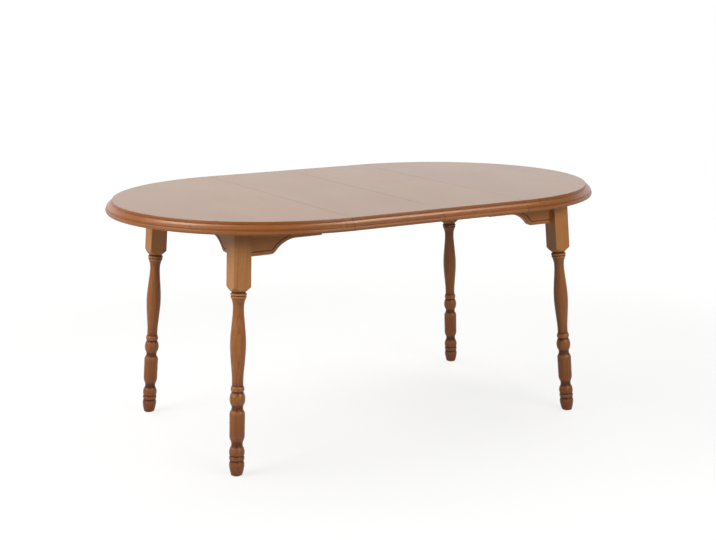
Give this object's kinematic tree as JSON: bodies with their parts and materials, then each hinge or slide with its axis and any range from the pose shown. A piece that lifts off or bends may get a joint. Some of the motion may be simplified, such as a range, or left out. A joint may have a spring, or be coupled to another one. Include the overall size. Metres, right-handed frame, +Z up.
{
  "type": "extending dining table",
  "caption": "Oval extending dining table: half-round tops on turned splayed legs, wooden slides below, and loose leaves between the halves.",
  "frame": {"origin": "on the floor, under the middle of the extended table", "axes": "+X along the table, +Y across it towards the rear, +Z up"},
  "size_m": [1.63, 1.03, 0.75],
  "materials": {
    "top_veneer": "stained wood veneer under satin lacquer",
    "edge_wood": "stained solid wood under semi-gloss lacquer",
    "leg_wood": "stained turned wood under semi-gloss lacquer",
    "apron_wood": "stained solid wood under satin lacquer",
    "plain_wood": "planed, waxed",
    "steel": "zinc plated",
    "glide_plastic": "matt dark brown"
  },
  "bodies": {
    "left_half": {"top_panel_left": "top_veneer", "top_moulding_left": "edge_wood", "end_apron_left": "apron_wood", "side_apron_front_left": "apron_wood", "side_apron_rear_left": "apron_wood", "leg_front_left": "leg_wood", "leg_rear_left": "leg_wood", "foot_glides_left": "glide_plastic", "corner_bracket_front_left": "steel", "corner_bracket_rear_left": "steel", "hanger_bolts_left": "steel", "bolt_nuts_left": "steel", "bracket_screws_left": "steel", "glue_blocks_left": "plain_wood", "slide_screws_left": "steel", "table_pins_left": "plain_wood", "catch_pivots_left": "steel", "slide_outer_front": "plain_wood", "slide_outer_rear": "plain_wood"},
    "right_half": {"top_panel_right": "top_veneer", "top_moulding_right": "edge_wood", "end_apron_right": "apron_wood", "side_apron_front_right": "apron_wood", "side_apron_rear_right": "apron_wood", "leg_front_right": "leg_wood", "leg_rear_right": "leg_wood", "foot_glides_right": "glide_plastic", "corner_bracket_front_right": "steel", "corner_bracket_rear_right": "steel", "hanger_bolts_right": "steel", "bolt_nuts_right": "steel", "bracket_screws_right": "steel", "glue_blocks_right": "plain_wood", "slide_screws_right": "steel", "table_pins_right": "plain_wood", "catch_pivots_right": "steel", "slide_inner_front": "plain_wood", "slide_inner_rear": "plain_wood"},
    "middle_slide_front": {"slide_middle_front": "plain_wood"},
    "middle_slide_rear": {"slide_middle_rear": "plain_wood"},
    "leaf_left": {"leaf_panel_left": "top_veneer", "leaf_moulding_front_left": "edge_wood", "leaf_moulding_rear_left": "edge_wood", "catch_keepers_left": "steel"},
    "leaf_right": {"leaf_panel_right": "top_veneer", "leaf_moulding_front_right": "edge_wood", "leaf_moulding_rear_right": "edge_wood", "catch_keepers_right": "steel"},
    "catch_front_left": {"catch_front_left": "steel"},
    "catch_rear_left": {"catch_rear_left": "steel"},
    "catch_front_right": {"catch_front_right": "steel"},
    "catch_rear_right": {"catch_rear_right": "steel"}
  },
  "joints": [
    {"name": "halves_slide", "type": "slide", "parent": "left_half", "child": "right_half", "axis": [1, 0, 0], "range_m": [0, 0.08]},
    {"name": "front_middle_slide", "type": "slide", "parent": "left_half", "child": "middle_slide_front", "axis": [1, 0, 0], "range_m": [0, 0.04]},
    {"name": "rear_middle_slide", "type": "slide", "parent": "left_half", "child": "middle_slide_rear", "axis": [1, 0, 0], "range_m": [0, 0.04]},
    {"name": "left_leaf_lift", "type": "slide", "parent": "left_half", "child": "leaf_left", "axis": [0, 0, 1], "range_m": [0, 0.3]},
    {"name": "right_leaf_lift", "type": "slide", "parent": "right_half", "child": "leaf_right", "axis": [0, 0, 1], "range_m": [0, 0.3]},
    {"name": "catch_front_left_swing", "type": "hinge", "parent": "left_half", "child": "catch_front_left", "pos_m": [-0.32215, -0.2312, 0.7243], "axis": [0, 0, 1], "range_deg": [0, 90]},
    {"name": "catch_rear_left_swing", "type": "hinge", "parent": "left_half", "child": "catch_rear_left", "pos_m": [-0.32215, 0.2312, 0.7243], "axis": [0, 0, -1], "range_deg": [0, 90]},
    {"name": "catch_front_right_swing", "type": "hinge", "parent": "right_half", "child": "catch_front_right", "pos_m": [0.32215, -0.2312, 0.7243], "axis": [0, 0, -1], "range_deg": [0, 90]},
    {"name": "catch_rear_right_swing", "type": "hinge", "parent": "right_half", "child": "catch_rear_right", "pos_m": [0.32215, 0.2312, 0.7243], "axis": [0, 0, 1], "range_deg": [0, 90]}
  ],
  "couplings": [
    {"joint": "front_middle_slide", "follows": "halves_slide", "ratio": 0.5},
    {"joint": "rear_middle_slide", "follows": "halves_slide", "ratio": 0.5}
  ]
}
